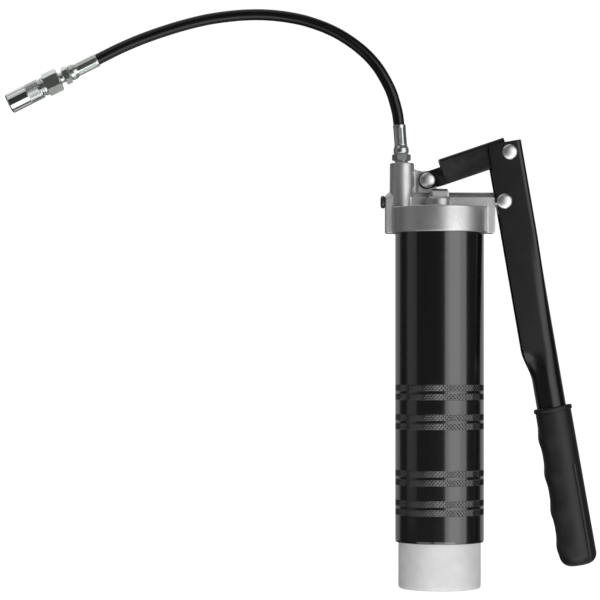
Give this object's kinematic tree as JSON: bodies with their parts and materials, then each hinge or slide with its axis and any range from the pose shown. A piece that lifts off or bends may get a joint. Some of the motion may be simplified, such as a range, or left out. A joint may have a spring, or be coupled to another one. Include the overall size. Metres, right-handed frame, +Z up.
{
  "type": "grease gun",
  "caption": "Hand-lever grease gun: screw-in cartridge in a steel barrel, cast pump head, channel lever with rubber grip, and a flexible hose with a jaw coupler.",
  "frame": {"origin": "centre of the flat base of the cartridge, on which the gun stands", "axes": "+Z up along the barrel towards the pump head, +X from the barrel towards the hand lever, Y across the linkage"},
  "size_m": [0.3842, 0.062, 0.3761],
  "materials": {
    "casting": "fine blasted die casting",
    "barrel_enamel": "gloss black enamel",
    "lever_coat": "satin black coating",
    "cartridge_plastic": "frosted pale grey",
    "piston_plastic": "satin grey",
    "seal_rubber": "matt",
    "hose_rubber": "smooth satin black",
    "grip_rubber": "matt black",
    "rivet_steel": "bright",
    "plain_steel": "ground",
    "dark_steel": "oiled dark",
    "zinc_plate": "bright zinc plate with a faint green cast",
    "bright_plate": "mirror bright plate"
  },
  "bodies": {
    "gun": {"head_casting": "casting", "barrel": "barrel_enamel", "cartridge_gasket": "seal_rubber", "plunger_seal": "seal_rubber", "gland_ring": "plain_steel", "end_plug": "dark_steel", "check_spring": "plain_steel", "hose_adapter": "zinc_plate", "ferrule_gun_end": "zinc_plate", "hose": "hose_rubber", "ferrule_coupler_end": "zinc_plate", "coupler_body": "zinc_plate", "coupler_seal": "seal_rubber"},
    "cartridge": {"cartridge_shell": "cartridge_plastic"},
    "follower": {"follower_piston": "piston_plastic"},
    "link": {"link": "lever_coat", "link_pin": "rivet_steel"},
    "lever": {"lever": "lever_coat", "grip": "grip_rubber", "lever_pin": "rivet_steel", "plunger_pin": "rivet_steel"},
    "plunger": {"pump_plunger": "plain_steel"},
    "check_ball": {"check_ball": "rivet_steel"},
    "bleed_valve": {"bleed_valve": "dark_steel"},
    "coupler_sleeve": {"coupler_sleeve": "bright_plate"},
    "jaw_1": {"coupler_jaw_1": "plain_steel"},
    "jaw_2": {"coupler_jaw_2": "plain_steel"},
    "jaw_3": {"coupler_jaw_3": "plain_steel"},
    "jaw_4": {"coupler_jaw_4": "plain_steel"}
  },
  "joints": [
    {"name": "lever_swing", "type": "hinge", "parent": "link", "child": "lever", "pos_m": [0.0448, 0, 0.2826], "axis": [0, -1, 0], "range_deg": [0, 53.77]},
    {"name": "link_swing", "type": "hinge", "parent": "gun", "child": "link", "pos_m": [-0.0082, 0, 0.2646], "axis": [0, 1, 0], "range_deg": [0, 7.8]},
    {"name": "plunger_stroke", "type": "slide", "parent": "gun", "child": "plunger", "axis": [1, 0, 0], "range_m": [0, 0.02584]},
    {"name": "cartridge_release", "type": "slide", "parent": "gun", "child": "cartridge", "axis": [0, 0, -1], "range_m": [0, 0.25]},
    {"name": "follower_travel", "type": "slide", "parent": "cartridge", "child": "follower", "axis": [0, 0, 1], "range_m": [0, 0.19]},
    {"name": "check_ball_lift", "type": "slide", "parent": "gun", "child": "check_ball", "axis": [0, 0, 1], "range_m": [0, 0.0012], "stiffness_N_per_m": 60, "springref_m": -0.003, "deforming": ["check_spring"]},
    {"name": "bleed_valve_turn", "type": "hinge", "parent": "gun", "child": "bleed_valve", "pos_m": [-0.0007, -0.013, 0.2572], "axis": [0, 0, 1], "range_deg": [0, 360]},
    {"name": "coupler_sleeve_turn", "type": "hinge", "parent": "gun", "child": "coupler_sleeve", "pos_m": [-0.2798, 0, 0.3145], "axis": [-0.8942, 0, -0.4478], "range_deg": [0, 360]},
    {"name": "jaw_1_open", "type": "slide", "parent": "gun", "child": "jaw_1", "axis": [0.5358, 0, 0.8443], "range_m": [0, 0.001], "stiffness_N_per_m": 300},
    {"name": "jaw_2_open", "type": "slide", "parent": "gun", "child": "jaw_2", "axis": [0.7664, 0.515, 0.3838], "range_m": [0, 0.001]},
    {"name": "jaw_3_open", "type": "slide", "parent": "gun", "child": "jaw_3", "axis": [0.9971, 0, -0.0767], "range_m": [0, 0.001]},
    {"name": "jaw_4_open", "type": "slide", "parent": "gun", "child": "jaw_4", "axis": [0.7664, -0.515, 0.3838], "range_m": [0, 0.001]}
  ],
  "couplings": [
    {"joint": "link_swing", "follows": "lever_swing", "ratio": 0.14459},
    {"joint": "plunger_stroke", "follows": "lever_swing", "m_per_rad": 0.027522},
    {"joint": "jaw_2_open", "follows": "jaw_1_open", "ratio": 1},
    {"joint": "jaw_3_open", "follows": "jaw_1_open", "ratio": 1},
    {"joint": "jaw_4_open", "follows": "jaw_1_open", "ratio": 1}
  ]
}
